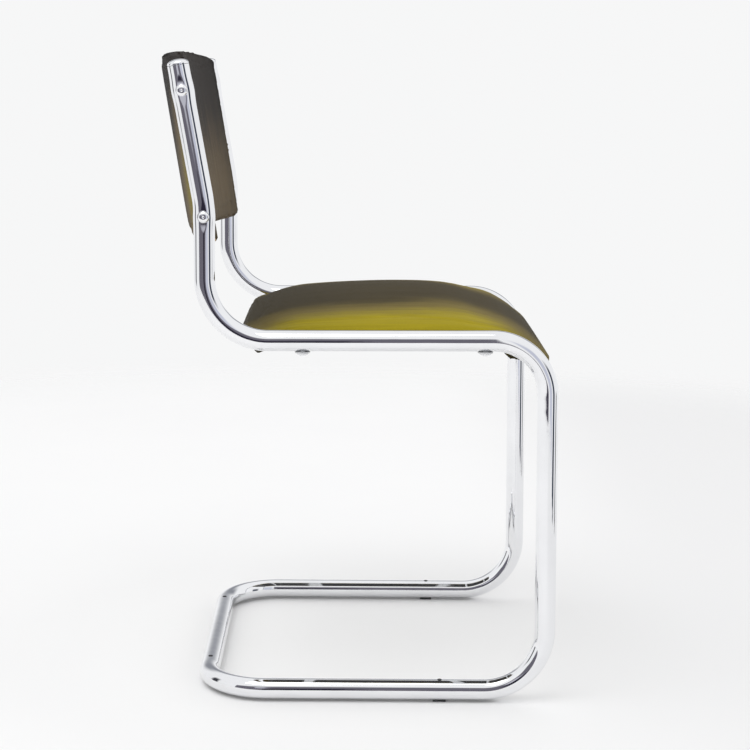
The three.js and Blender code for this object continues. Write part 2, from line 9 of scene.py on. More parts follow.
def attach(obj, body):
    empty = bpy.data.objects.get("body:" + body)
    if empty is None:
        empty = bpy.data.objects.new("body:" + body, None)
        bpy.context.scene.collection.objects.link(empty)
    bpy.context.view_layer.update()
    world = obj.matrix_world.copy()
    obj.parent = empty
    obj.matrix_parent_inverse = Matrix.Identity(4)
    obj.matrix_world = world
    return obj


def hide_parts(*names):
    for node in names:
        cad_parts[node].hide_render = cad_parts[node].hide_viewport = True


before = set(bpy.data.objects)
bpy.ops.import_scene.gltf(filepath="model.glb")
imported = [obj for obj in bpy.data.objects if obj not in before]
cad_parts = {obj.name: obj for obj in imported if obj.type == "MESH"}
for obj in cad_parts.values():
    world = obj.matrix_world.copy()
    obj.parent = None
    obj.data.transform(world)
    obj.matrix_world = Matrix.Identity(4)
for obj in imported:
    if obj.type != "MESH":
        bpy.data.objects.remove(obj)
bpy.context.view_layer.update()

scene = bpy.context.scene


# The studio: a camera low at the chair's right side, a white sweep of floor, one wide soft
# lamp overhead, and pale walls with an unlit room behind the camera that the chrome mirrors.
camera = bpy.data.objects.new("camera", bpy.data.cameras.new("camera"))
scene.collection.objects.link(camera)
camera.data.sensor_width = 36
camera.data.lens = 88.17
camera.location = (-0.0063, -2.3545, 0.7749)
camera.rotation_euler = [math.radians(turn) for turn in (80.1397, -0.6165, -0.6859)]
scene.camera = camera
scene.view_settings.view_transform = "Standard"


def put_in(tree, socket, value):
    """Links another node's output to a socket, or sets the socket to a plain value."""
    if isinstance(value, bpy.types.NodeSocket):
        tree.links.new(value, socket)
    else:
        socket.default_value = value


def add_node(tree, kind, inputs=None, **settings):
    made = tree.nodes.new(kind)
    for name, value in settings.items():
        setattr(made, name, value)
    for name, value in (inputs or {}).items():
        put_in(tree, made.inputs[name], value)
    return made


def maths(tree, operation, *values, clamp=False):
    """One operation over two values, or carried on over more of them."""
    made = add_node(tree, "ShaderNodeMath", dict(enumerate(values[:2])), operation=operation)
    for value in values[2:]:
        made = add_node(tree, "ShaderNodeMath", {0: made.outputs[0], 1: value}, operation=operation)
    made.use_clamp = clamp
    return made.outputs[0]


def product(tree, *values):
    return maths(tree, "MULTIPLY", *values)


def total(tree, *values, clamp=False):
    return maths(tree, "ADD", *values, clamp=clamp)


def rising(tree, value, low, high):
    """Eased from 0 at low to 1 at high, or downwards where high is the smaller one."""
    return add_node(tree, "ShaderNodeMapRange", {"Value": value, "From Min": low, "From Max": high},
                    interpolation_type="SMOOTHSTEP").outputs["Result"]


def blended(tree, share, first, second):
    return add_node(tree, "ShaderNodeMix", {0: share, 6: first, 7: second}, data_type="RGBA").outputs[2]


def mixed(tree, share, first, second):
    """A mix of two shaders."""
    return add_node(tree, "ShaderNodeMixShader", {0: share, 1: first, 2: second}).outputs[0]


def split(tree, vector):
    return add_node(tree, "ShaderNodeSeparateXYZ", {0: vector}).outputs


def own_place(tree):
    """A point's place in the object's own coordinates."""
    return add_node(tree, "ShaderNodeTexCoord").outputs["Object"]


def clouds(tree, place, scale, detail, distortion=0.0):
    return add_node(tree, "ShaderNodeTexNoise", {"Vector": place, "Scale": scale, "Detail": detail,
                                                 "Distortion": distortion}).outputs[0]


def area(tree, across, up, west, east, low, high, softness):
    """One inside a rectangle and zero outside; softness is that of its west, east, low and high side."""
    soft_west, soft_east, soft_low, soft_high = softness
    return product(tree, rising(tree, across, west - soft_west, west + soft_west),
                   rising(tree, across, east + soft_east, east - soft_east),
                   rising(tree, up, low - soft_low, low + soft_low),
                   rising(tree, up, high + soft_high, high - soft_high))


world = bpy.data.worlds.new("studio")
scene.world = world
world.use_nodes = True
tree = world.node_tree
tree.nodes.clear()
across, away, upward = split(tree, add_node(tree, "ShaderNodeTexCoord").outputs["Generated"])
in_degrees = 180 / math.pi
azimuth = product(tree, maths(tree, "ARCTAN2", across, product(tree, away, -1.0)), in_degrees)
elevation = product(tree, maths(tree, "ARCSINE", upward), in_degrees)
walls = (0.95, 0.955, 0.965, 1)
# Each darker part of the room: azimuth from and to, elevation from and to, softness, colour
for west, east, low, high, softness, colour in (
    (16, 42, -24, 28, (5, 5, 8, 10), (0.58, 0.60, 0.70, 1)),
    (53, 73, -17, 18, (3, 3, 4, 8), (0.040, 0.050, 0.078, 1)),
    (-104, -90, -12, 26, (3, 3, 3, 8), (0.05, 0.05, 0.06, 1)),
    (91, 102, -24, -7, (2, 2, 3, 3), (0.03, 0.03, 0.035, 1)),
):
    walls = blended(tree, area(tree, azimuth, elevation, west, east, low, high, softness), walls, colour)
# Far behind the chair the sweep ends in a greyer strip of wall
behind = product(tree, rising(tree, maths(tree, "ABSOLUTE", azimuth), 130, 155),
                 rising(tree, elevation, 1, 23), rising(tree, elevation, 42, 26))
walls = blended(tree, behind, walls, (0.28, 0.29, 0.32, 1))
rays = add_node(tree, "ShaderNodeLightPath").outputs
in_chrome = maths(tree, "MAXIMUM", rays["Is Glossy Ray"], rays["Is Transmission Ray"])
daylight, seen_walls, backdrop = [
    add_node(tree, "ShaderNodeBackground", {"Color": colour, "Strength": strength}).outputs[0]
    for colour, strength in (((1, 1, 1, 1), 1.02), (walls, 1.0), ((0.925, 0.928, 0.93, 1), 1.0))]
around = mixed(tree, rays["Is Camera Ray"], mixed(tree, in_chrome, daylight, seen_walls), backdrop)
add_node(tree, "ShaderNodeOutputWorld", {"Surface": around})

softbox = bpy.data.objects.new("softbox", bpy.data.lights.new("softbox", "AREA"))
scene.collection.objects.link(softbox)
softbox.data.shape = "SQUARE"
softbox.data.size = 1.4
softbox.data.energy = 9
softbox.location = (-0.5, -0.9, 2.6)
lit_point = Vector((0, 0, 0.4))
softbox.rotation_euler = (softbox.location - lit_point).to_track_quat("Z", "Y").to_euler()


def new_piece(name, mesh):
    piece = bpy.data.objects.new(name, mesh)
    scene.collection.objects.link(piece)
    return piece


def smooth(mesh, crisp_from=38):
    """Shades a mesh smooth, but keeps its folds and rims crisp."""
    mesh.shade_smooth()
    mesh.set_sharp_from_angle(angle=math.radians(crisp_from))
    return mesh


def mesh_of(name, points, faces):
    mesh = bpy.data.meshes.new(name)
    mesh.from_pydata([tuple(point) for point in points], [], faces)
    mesh.update()
    return smooth(mesh)


def band(first, second, count):
    """The faces between two closed rings of points, each given by its first point's number."""
    return [(first + side, first + (side + 1) % count, second + (side + 1) % count, second + side)
            for side in range(count)]


def new_material(name):
    material = bpy.data.materials.new(name)
    material.use_nodes = True
    return material, material.node_tree, material.node_tree.nodes["Principled BSDF"]


floor_sides = 64
floor_rings = 8
ring_width = 0.3
floor_points = [(0, 0, 0)]
for ring in range(1, floor_rings + 1):
    for side in range(floor_sides):
        turn = 2 * math.pi * side / floor_sides
        floor_points.append((ring_width * ring * math.cos(turn), ring_width * ring * math.sin(turn), 0))
floor_faces = [(0, 1 + side, 1 + (side + 1) % floor_sides) for side in range(floor_sides)]
for ring in range(floor_rings - 1):
    floor_faces += band(1 + (ring + 1) * floor_sides, 1 + ring * floor_sides, floor_sides)
floor = new_piece("floor", mesh_of("floor", floor_points, floor_faces))
floor_paint, tree, paint = new_material("white floor")
paint.inputs["Roughness"].default_value = 0.7
paint.inputs["Specular IOR Level"].default_value = 0.2
place = own_place(tree)
floor_x, floor_y, _ = split(tree, place)
spread = add_node(tree, "ShaderNodeVectorMath", {0: place}, operation="LENGTH").outputs["Value"]
white = blended(tree, clouds(tree, place, 3.0, 6.0), (0.895, 0.895, 0.90, 1), (0.92, 0.92, 0.92, 1))
# Painted light: the floor is paler round the middle, under the chair, to lift the seat's shadow
white = blended(tree, rising(tree, spread, 0.46, 0.16), white, (0.985, 0.985, 0.985, 1))
# Painted shade: the floor darkens towards +x, as if the light fell off to that side
white = blended(tree, rising(tree, floor_x, 0.15, 0.60), white, (0.83, 0.83, 0.835, 1))
put_in(tree, paint.inputs["Base Color"], white)
# The floor fades into the backdrop all round, in front of the camera too, and isn't seen from below
gone = maths(tree, "MAXIMUM", rising(tree, floor_y, -1.86, -1.99), rising(tree, floor_x, 1.05, 1.2),
             rising(tree, spread, 1.75, 2.35), add_node(tree, "ShaderNodeNewGeometry").outputs["Backfacing"])
clear = add_node(tree, "ShaderNodeBsdfTransparent").outputs[0]
put_in(tree, tree.nodes["Material Output"].inputs["Surface"], mixed(tree, gone, paint.outputs[0], clear))
floor.data.materials.append(floor_paint)

# The dark end of the room behind the camera, as a card that only reflections see
card_west, card_east, card_foot, card_top = -2.75, 0.55, -0.1, 1.75
card_y = -1.97
card_points = [(x, card_y, z) for x, z in ((card_west, card_foot), (card_east, card_foot),
                                           (card_east, card_top), (card_west, card_top))]
card = new_piece("room_card", mesh_of("room_card", card_points, [(0, 1, 2, 3)]))
for way in ("camera", "diffuse", "transmission", "volume_scatter", "shadow"):
    setattr(card, f"visible_{way}", False)
card_paint, tree, _ = new_material("dark room")
tree.nodes.clear()
card_x, _, card_z = split(tree, own_place(tree))
below_floor = -1.0
core = area(tree, card_x, card_z, -0.40, 0.01, below_floor, 0.56, (0.05, 0.05, 0.12, 0.12))
window = area(tree, card_x, card_z, -0.80, -0.25, 0.58, 1.05, (0.09, 0.09, 0.10, 0.10))
whole_room = area(tree, card_x, card_z, -2.57, 0.36, below_floor, 1.34, (0.06, 0.06, 0.24, 0.24))
room = blended(tree, core, (0.150, 0.142, 0.172, 1), (0.026, 0.023, 0.038, 1))
room = blended(tree, window, room, (0.52, 0.52, 0.58, 1))
glow = add_node(tree, "ShaderNodeEmission", {"Color": room}).outputs[0]
clear = add_node(tree, "ShaderNodeBsdfTransparent").outputs[0]
add_node(tree, "ShaderNodeOutputMaterial", {"Surface": mixed(tree, whole_room, clear, glow)})
card.data.materials.append(card_paint)


# The two frame tubes: 25 mm steel tube with a 2 mm wall, each bent cold from the middle of the
# rear crossbar round the floor, up the front leg, back along the seat and up the back post,
# then chrome-plated. The outer wall is pulled in flat where the backrest's screws clamp it.
tube_radius = 0.0125
tube_wall = 0.002
tube_sides = 72
rail_offset = 0.214
floor_drop = 0.01435
frame_corners = [Vector(corner) for corner in (
    (-0.17907, 0.00001, floor_drop), (-0.17907, rail_offset, floor_drop), (0.23393, rail_offset, floor_drop),
    (0.22792, rail_offset, 0.44515), (-0.17757, rail_offset, 0.44232), (-0.17757, rail_offset, 0.60082),
    (-0.20656, rail_offset, 0.76191),
)]
bend_radii = (0, 0.074, 0.074, 0.065, 0.074, 0.130)
upper_screw = Vector((-0.20148, rail_offset, 0.73366))
lower_screw = Vector((-0.17757, rail_offset, 0.58862))
post_lean = math.radians(10.2)
press_depth = 0.0007
end_chamfer = 0.00003
sides = {"left": 1, "right": -1}


def bent_line(corners, radii):
    """The stations along a bent tube: its centre, its heading, the inside of its bend and how far
    round the bend it is, from 0 to 1."""
    fine_step, plain_step, press_reach = 0.0012, 0.012, 0.026
    headings = [(b - a).normalized() for a, b in zip(corners, corners[1:])]
    stations = [(corners[0], headings[0], None, 0)]
    for index in range(1, len(corners)):
        before = headings[index - 1]
        start = stations[-1][0]
        end = corners[index]
        if index < len(headings):
            turn = before.angle(headings[index])
            end = end - before * radii[index] * math.tan(turn / 2)
        run = (end - start).length
        place = 0.0
        while place < run:
            here = start.lerp(end, place / run)
            if place > 0:
                stations.append((here, before, None, 0))
            nearest = min((here - screw).length for screw in (upper_screw, lower_screw))
            place += fine_step if nearest < press_reach else plain_step
        stations.append((end, before, None, 0))
        if index < len(headings):
            axis = before.cross(headings[index]).normalized()
            inward = axis.cross(before)
            centre = end + inward * radii[index]
            steps = max(4, round(turn / math.radians(2.5)))
            for step in range(1, steps + 1):
                rotation = Matrix.Rotation(turn * step / steps, 3, axis)
                stations.append((centre + rotation @ (end - centre), rotation @ before,
                                 rotation @ inward, step / steps))
    return stations


def swept_tube(stations):
    heading = stations[0][1]
    first = heading.orthogonal().normalized()
    points = []
    for station in stations:
        first = (heading.rotation_difference(station[1]) @ first).normalized()
        heading = station[1]
        points += tube_section(station, first, heading.cross(first))
    faces = []
    for ring in range(len(stations) - 1):
        faces += band(ring * tube_sides, (ring + 1) * tube_sides, tube_sides)
    return points, faces


def pressed_in(point):
    """Moves a point of the left tube in to the flat round each backrest screw, and spreads the
    tube beside it."""
    flat_radius, flat_fade, reach = 0.0070, 0.014, 0.03
    for screw, lean, spread in ((upper_screw, post_lean, 0.07), (lower_screw, 0, 0.04)):
        along = Vector((-math.sin(lean), 0, math.cos(lean)))
        beside = Vector((math.cos(lean), 0, math.sin(lean)))
        offset = point - screw
        up, wide, out = offset.dot(along), offset.dot(beside), offset.y
        if abs(up) > reach:
            continue
        wide *= 1 + spread * math.exp(-(up / 0.011) ** 2)
        share = min(1, max(0, (math.hypot(up, wide) - flat_radius) / flat_fade))
        out = min(out, tube_radius - press_depth * (1 - share * share * (3 - 2 * share)))
        point = screw + along * up + beside * wide + Vector((0, out, 0))
    return point


def tube_section(station, first, second):
    """A round ring, a little flat and rippled on the inside of a bend."""
    flattening, ripple, ripples, ripple_side = 0.018, 0.00011, 38, 0.35
    centre, heading, inward, share = station
    ring = []
    for side in range(tube_sides):
        turn = 2 * math.pi * side / tube_sides
        out = first * math.cos(turn) + second * math.sin(turn)
        radius = tube_radius
        if inward is not None:
            rise = math.sin(math.pi * share)
            inner = out.dot(inward)
            radius *= 1 - flattening * rise * inner * inner
            if inner > ripple_side:
                radius += ripple * rise * (inner - ripple_side) * math.sin(ripples * share)
        ring.append(pressed_in(centre + out * radius))
    return ring


def open_ends(points, faces, stations):
    """Gives both ends of a tube a small chamfer and a short stretch of bore, so that its wall shows."""
    bore_shown = 0.006
    for start, centre, heading in ((0, stations[0][0], -stations[0][1]),
                                   (len(points) - tube_sides, stations[-1][0], stations[-1][1])):
        ring = start
        for inset, depth in ((end_chamfer, 0.0), (tube_wall - 0.0001, 0.0), (tube_wall + 0.0001, -bore_shown)):
            base = len(points)
            for point in points[start:start + tube_sides]:
                out = (point - centre).normalized()
                points.append(centre + out * (tube_radius - inset) + heading * depth)
            fresh = band(ring, base, tube_sides)
            faces += fresh if start else [face[::-1] for face in fresh]
            ring = base
        for side in range(start, start + tube_sides):
            points[side] = points[side] - heading * end_chamfer


def new_group(name, inputs, outputs):
    """A node group with named sockets. The inputs come with their first values."""
    group = bpy.data.node_groups.new(name, "ShaderNodeTree")
    for label, value in inputs.items():
        kind = "NodeSocketFloat" if isinstance(value, float) else "NodeSocketColor"
        group.interface.new_socket(label, in_out="INPUT", socket_type=kind).default_value = value
    for label in outputs:
        kind = "NodeSocketColor" if label == "Color" else "NodeSocketFloat"
        group.interface.new_socket(label, in_out="OUTPUT", socket_type=kind)
    return group, add_node(group, "NodeGroupInput").outputs


def embossed(tree, shader, height, distance, strength):
    relief = add_node(tree, "ShaderNodeBump", {"Height": height, "Distance": distance, "Strength": strength})
    put_in(tree, shader.inputs["Normal"], relief.outputs[0])


def coated(tree, shader, group, values, distance, strength):
    """Gives a shader the colour, roughness and relief of a node group."""
    outputs = add_node(tree, "ShaderNodeGroup", values, node_tree=group).outputs
    put_in(tree, shader.inputs["Base Color"], outputs["Color"])
    put_in(tree, shader.inputs["Roughness"], outputs["Roughness"])
    embossed(tree, shader, outputs["Height"], distance, strength)
    return outputs


# Polished chrome plate: a clear mirror with faint haze, fine scratches and the tube's slight
# waves, and with painted shade where it is close to the floor: dark, dull and less metal-like
chrome_wear_and_shade, given = new_group("chrome wear and shade", {"Haze": 0.04, "Scratches": 0.3, "Painted shade height": 0.0},
                               ("Color", "Roughness", "Height", "Bright metal"))
tree = chrome_wear_and_shade
place = own_place(tree)
cloudy = clouds(tree, place, 14.0, 5.0)
stretched = add_node(tree, "ShaderNodeMapping", {"Vector": place, "Rotation": (0.4, 0.9, 0.3),
                                                 "Scale": (900.0, 60.0, 300.0)}).outputs[0]
marks = product(tree, rising(tree, clouds(tree, stretched, 1.0, 3.0), 0.62, 0.72), given["Scratches"])
haze = product(tree, rising(tree, cloudy, 0.42, 0.75), given["Haze"])
# Painted shade: below the given height the chrome turns dark, rough and less metal-like, standing in for the
# dark contact line under the tube
painted_shade = rising(tree, split(tree, place)[2], total(tree, given["Painted shade height"], 0.0001),
               product(tree, given["Painted shade height"], 0.75))
tint = blended(tree, rising(tree, cloudy, 0.35, 0.8), (0.885, 0.89, 0.905, 1), (0.83, 0.835, 0.85, 1))
tint = blended(tree, product(tree, painted_shade, 0.85), tint, (0.05, 0.048, 0.055, 1))
rough = total(tree, haze, 0.028, product(tree, marks, 0.12), product(tree, painted_shade, 0.5))
height = maths(tree, "SUBTRACT", product(tree, clouds(tree, place, 45.0, 1.0), 0.5), product(tree, marks, 0.03))
bright = maths(tree, "SUBTRACT", 1.0, product(tree, painted_shade, 0.9))
add_node(tree, "NodeGroupOutput", {"Color": tint, "Roughness": rough, "Height": height, "Bright metal": bright})


def chrome_finish(name, haze, scratches, bump, painted_shade_height=0.0, metal=None):
    material, tree, shader = new_material(name)
    wear = coated(tree, shader, chrome_wear_and_shade,
                  {"Haze": haze, "Scratches": scratches, "Painted shade height": painted_shade_height}, bump, 1.0)
    put_in(tree, shader.inputs["Metallic"], wear["Bright metal"] if metal is None else metal)
    return material


# The frame tubes get painted shade along their lowest 4.2 mm, beside the floor
tube_chrome = chrome_finish("tube chrome", 0.05, 0.4, 0.00025, painted_shade_height=0.0042)
stations = bent_line(frame_corners, bend_radii)
tube_points, tube_faces = swept_tube(stations)
open_ends(tube_points, tube_faces, stations)
for side, sign in sides.items():
    points = [(x, sign * y, z) for x, y, z in tube_points]
    faces = tube_faces if sign > 0 else [face[::-1] for face in tube_faces]
    tube = new_piece(f"{side}_tube", mesh_of(f"{side}_tube", points, faces))
    tube.data.materials.append(tube_chrome)
    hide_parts(f"{side}_frame_tube")
    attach(tube, "root")


# The post caps: pressed steel domes, chromed, each pushed into its post with a hollow plug.
# A narrow gap shows between the tube's end and the cap's rim.
def turned(profile, segments=64, hexagon=()):
    """A turned shape from pairs of radius and height along +Z; the rings named in hexagon are
    six-sided instead of round."""
    points, faces = [], []
    for index, (radius, height) in enumerate(profile):
        for step in range(segments):
            turn = 2 * math.pi * step / segments
            reach = radius
            if index in hexagon:
                reach *= math.cos(math.pi / 6) / math.cos((turn % (math.pi / 3)) - math.pi / 6)
            points.append(Vector((reach * math.cos(turn), reach * math.sin(turn), height)))
    for ring in range(len(profile) - 1):
        faces += band(ring * segments, (ring + 1) * segments, segments)
    faces.append(tuple(range((len(profile) - 1) * segments, len(profile) * segments)))
    faces.append(tuple(reversed(range(segments))))
    return points, faces


def placed(points, at, direction):
    turn = Vector((0, 0, 1)).rotation_difference(Vector(direction))
    return [turn @ point + Vector(at) for point in points]


small_chrome = chrome_finish("fitting chrome", 0.08, 0.5, 0.0001)
dome_radius, dome_foot, dome_height = 0.0124, 0.0019, 0.0052
cap_profile = [(0.0072, -0.016), (0.0092, -0.0158), (0.0094, -0.015), (0.0094, 0.0), (0.0096, 0.0003),
               (0.0119, 0.0003), (0.0124, 0.0007), (0.0125, 0.0013), (dome_radius, dome_foot)]
for step in range(1, 14):
    turn = step * math.pi / 28
    cap_profile.append((dome_radius * math.cos(turn), dome_foot + dome_height * math.sin(turn)))
cap_axis = Vector((-math.sin(post_lean), 0, math.cos(post_lean)))
post_end = frame_corners[-1]
for side, sign in sides.items():
    points, faces = turned(cap_profile)
    points = placed(points, (post_end.x, sign * post_end.y, post_end.z), cap_axis)
    cap = new_piece(f"{side}_cap", mesh_of(f"{side}_cap", points, faces))
    cap.data.materials.append(small_chrome)
    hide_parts(f"{side}_post_cap")
    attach(cap, "root")


# The floor glides: four black nylon saddles under the floor tubes, each held by a moulded pin
# that goes through the tube and ends in a small head on top of it.
glide_length = 0.016
glide_half = 0.0045
saddle_radius = tube_radius + 0.0002
pin_profile = [(0.0024, -0.010), (0.0024, 0.0118), (0.0028, 0.0121), (0.0028, 0.0126), (0.0026, 0.01285),
               (0.0020, 0.01295), (0.0003, 0.0130)]


def applied(piece):
    """Makes a piece's modifiers part of its mesh."""
    seen = bpy.context.evaluated_depsgraph_get()
    mesh = bpy.data.meshes.new_from_object(piece.evaluated_get(seen))
    piece.modifiers.clear()
    piece.data = mesh
    smooth(mesh)
    return piece


def bevelled(name, points, faces, width):
    piece = new_piece(name, mesh_of(name, points, faces))
    round_off = piece.modifiers.new("round off", "BEVEL")
    round_off.width = width
    round_off.segments = 3
    round_off.limit_method = "ANGLE"
    round_off.angle_limit = math.radians(40)
    return applied(piece)


def prism(points):
    """The faces of a prism whose points are its first end's outline and then its second end's."""
    count = len(points) // 2
    return [tuple(reversed(range(count))), tuple(range(count, 2 * count))] + band(0, count, count)


black_nylon, tree, shader = new_material("black nylon")
place = own_place(tree)
scuffs = clouds(tree, place, 260.0, 6.0)
nylon = blended(tree, rising(tree, scuffs, 0.5, 0.8), (0.018, 0.018, 0.02, 1), (0.0596, 0.0596, 0.064, 1))
put_in(tree, shader.inputs["Base Color"], nylon)
put_in(tree, shader.inputs["Roughness"], total(tree, product(tree, scuffs, 0.3), 0.35))
embossed(tree, shader, clouds(tree, place, 2400.0, 2.0), 0.00003, 0.6)

saddle = [(-glide_half, -floor_drop), (glide_half, -floor_drop)]
for step in range(17):
    across = glide_half * (1 - step / 8)
    saddle.append((across, -math.sqrt(saddle_radius ** 2 - across ** 2)))
glide_points = [Vector((end * glide_length / 2, across, height)) for end in (-1, 1) for across, height in saddle]
for side, sign in sides.items():
    for foot, at, turn in (("rail", (0.10593, sign * rail_offset, floor_drop), 0),
                           ("rear", (-0.17907, sign * 0.129, floor_drop), math.pi / 2)):
        glide = bevelled(f"{side}_{foot}_foot", glide_points, prism(glide_points), 0.0006)
        made = bmesh.new()
        made.from_mesh(glide.data)
        made.from_mesh(mesh_of("pin", *turned(pin_profile, 24)))
        made.transform(Matrix.Translation(at) @ Matrix.Rotation(turn, 4, "Z"))
        made.to_mesh(glide.data)
        made.free()
        glide.data.materials.append(black_nylon)
        smooth(glide.data)
        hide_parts(f"{side}_{foot}_glide")
        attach(glide, "root")


# Zinc-plated steel for the parts that aren't polished: the straps, the rivet nuts, the wood
# screws, the inserts and the sleeve that joins the two tubes inside the crossbar.
plated_steel, given = new_group("plated steel", {"Spangle": 120.0}, ("Color", "Roughness", "Height"))
tree = plated_steel
place = own_place(tree)
patches = clouds(tree, place, given["Spangle"], 4.0)
drawn = add_node(tree, "ShaderNodeMapping", {"Vector": place, "Scale": (1800.0, 40.0, 1800.0)}).outputs[0]
shade = blended(tree, rising(tree, patches, 0.3, 0.7), (0.60, 0.61, 0.62, 1), (0.74, 0.745, 0.75, 1))
add_node(tree, "NodeGroupOutput", {"Color": shade, "Height": clouds(tree, drawn, 1.0, 2.0),
                                   "Roughness": total(tree, product(tree, patches, 0.25), 0.34)})


def zinc_finish(name, spangle):
    material, tree, shader = new_material(name)
    coated(tree, shader, plated_steel, {"Spangle": spangle}, 0.00002, 0.7)
    shader.inputs["Metallic"].default_value = 0.5
    return material


def refinish(node, material):
    """Gives a node of the frame its finish."""
    node_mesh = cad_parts[node].data
    node_mesh.materials.clear()
    node_mesh.materials.append(material)


strap_zinc = zinc_finish("strap zinc", 90.0)
fitting_zinc = zinc_finish("fitting zinc", 260.0)
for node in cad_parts:
    if node.endswith(("_rivet_nut", "_insert", "_sleeve")):
        refinish(node, fitting_zinc)


# The two boards: 11 mm moulded plywood, the seat's turned down with the rails at the front and
# the backrest's curved. Their plies show at the cut edges, their birch face veneer elsewhere.
def plywood_finish(name, plies):
    material, tree, shader = new_material(name)
    place = own_place(tree)
    along = add_node(tree, "ShaderNodeMapping", {"Vector": place, "Scale": (9.0, 120.0, 120.0)}).outputs[0]
    figure = clouds(tree, along, 1.0, 5.0, distortion=0.6)
    veneer = blended(tree, rising(tree, figure, 0.3, 0.75), (0.62, 0.44, 0.25, 1), (0.44, 0.28, 0.13, 1))
    layers = add_node(tree, "ShaderNodeTexWave", {"Vector": place, "Scale": plies, "Distortion": 0.4},
                      bands_direction="Z").outputs[1]
    put_in(tree, shader.inputs["Base Color"],
           blended(tree, product(tree, layers, 0.35), veneer, (0.28, 0.17, 0.08, 1)))
    shader.inputs["Roughness"].default_value = 0.6
    embossed(tree, shader, figure, 0.0002, 0.6)
    return material


refinish("seat_board", plywood_finish("seat plywood", 140.0))
refinish("backrest_board", plywood_finish("backrest plywood", 120.0))


# The seat's upholstery: foam over the board under one stretched piece of changeant cloth of
# olive yellow and dark brown yarns, with painted sheen, olive yellow where it faces the side and dark
# brown on top, and painted shade at the rear, the nose and underneath. The cloth is pulled round the
# board's edge, gathered at the rear corners and stapled underneath.
seat_origin = Vector((-0.17757, 0, 0.44232))
seat_rise = math.radians(0.4)
knee_start = 0.34095
knee_radius = 0.065
board_bottom = -0.01105
seat_side = 0.2009
cloth_tip = 0.4225
nose_start = 0.34
foam_pressure = 4.0


def seat_place(point):
    """A point's place along the rails from their rear corner, and its height off their centre line."""
    offset = Vector(point) - seat_origin
    along = offset.x * math.cos(seat_rise) + offset.z * math.sin(seat_rise)
    height = offset.z * math.cos(seat_rise) - offset.x * math.sin(seat_rise)
    if along <= knee_start:
        return along, height
    turn = math.atan2(along - knee_start, height + knee_radius)
    return knee_start + turn * knee_radius, math.hypot(along - knee_start, height + knee_radius) - knee_radius


def seat_point(along, across, height):
    turn = max(0, along - knee_start) / knee_radius
    x = min(along, knee_start) + (knee_radius + height) * math.sin(turn)
    z = (knee_radius + height) * math.cos(turn) - knee_radius
    return seat_origin + Vector((x * math.cos(seat_rise) - z * math.sin(seat_rise), across,
                                 x * math.sin(seat_rise) + z * math.cos(seat_rise)))


def skinned(name, nodes, voxel):
    """One closed form round the named solids."""
    together = bmesh.new()
    for node in nodes:
        together.from_mesh(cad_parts[node].data)
    mesh = bpy.data.meshes.new(name)
    together.to_mesh(mesh)
    together.free()
    piece = new_piece(name, mesh)
    skin = piece.modifiers.new("skin", "REMESH")
    skin.mode = "VOXEL"
    skin.voxel_size = voxel
    return applied(piece)


def eased(piece, iterations):
    ease = piece.modifiers.new("ease", "SMOOTH")
    ease.factor = 0.5
    ease.iterations = iterations
    return applied(piece)


def stuffing(name, nodes, voxel, inset):
    """A form a little inside the named solids, for the cloth to swell out from."""
    piece = eased(skinned(name, nodes, voxel), 4)
    normals = [vertex.normal.copy() for vertex in piece.data.vertices]
    for vertex, normal in zip(piece.data.vertices, normals):
        vertex.co -= normal * inset
    return piece


def surface_of(mesh):
    return BVHTree.FromPolygons([vertex.co for vertex in mesh.vertices],
                                [face.vertices for face in mesh.polygons])


def filled_out(piece, nodes, outer):
    """Keeps a soft piece's surface a little outside the skin of the solids that it stands for,
    so that it is as full as they are and hides what is inside."""
    inner = 0.0002
    whole = skinned("whole", nodes, 0.0025)
    skin = surface_of(whole.data)
    bpy.data.objects.remove(whole)
    for vertex in piece.data.vertices:
        nearest, normal, _, _ = skin.find_nearest(vertex.co)
        depth = (vertex.co - nearest).dot(normal)
        if depth < inner or depth > outer:
            vertex.co += normal * (min(outer, max(inner, depth)) - depth)


def covering(piece, node, margin):
    """Lifts a soft piece's surface clear of the solid inside it."""
    near = 0.012
    skin = surface_of(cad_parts[node].data)
    for vertex in piece.data.vertices:
        nearest, normal, _, _ = skin.find_nearest(vertex.co)
        depth = (vertex.co - nearest).dot(normal)
        if depth < margin and (vertex.co - nearest).length < near:
            vertex.co += normal * (margin - depth)


def puffed(piece, cap, held):
    """Swells a piece as stretched cloth over foam. No point moves further than the cap, and the
    held share of each point's movement is kept back."""
    start = [vertex.co.copy() for vertex in piece.data.vertices]
    cloth = piece.modifiers.new("cloth", "CLOTH")
    cloth.settings.quality = 6
    cloth.settings.use_pressure = True
    cloth.settings.uniform_pressure_force = foam_pressure
    cloth.settings.effector_weights.gravity = 0
    for frame_number in range(1, 21):
        scene.frame_set(frame_number)
    applied(piece)
    scene.frame_set(1)
    for vertex, before in zip(piece.data.vertices, start):
        move = vertex.co - before
        if move.length > cap:
            move *= cap / move.length
        vertex.co = before + move * (1 - held(before))


def subdivided(piece):
    finer = piece.modifiers.new("finer", "SUBSURF")
    finer.levels = finer.render_levels = 1
    return applied(piece)


def between(value, low, high):
    """How far a value is from low to high, eased at both ends."""
    share = min(1, max(0, (value - low) / (high - low)))
    return share * share * (3 - 2 * share)


def kept_within(vertex, half):
    """Keeps a soft piece clear of the tubes beside it."""
    if abs(vertex.co.y) > half:
        vertex.co.y = math.copysign(half, vertex.co.y)


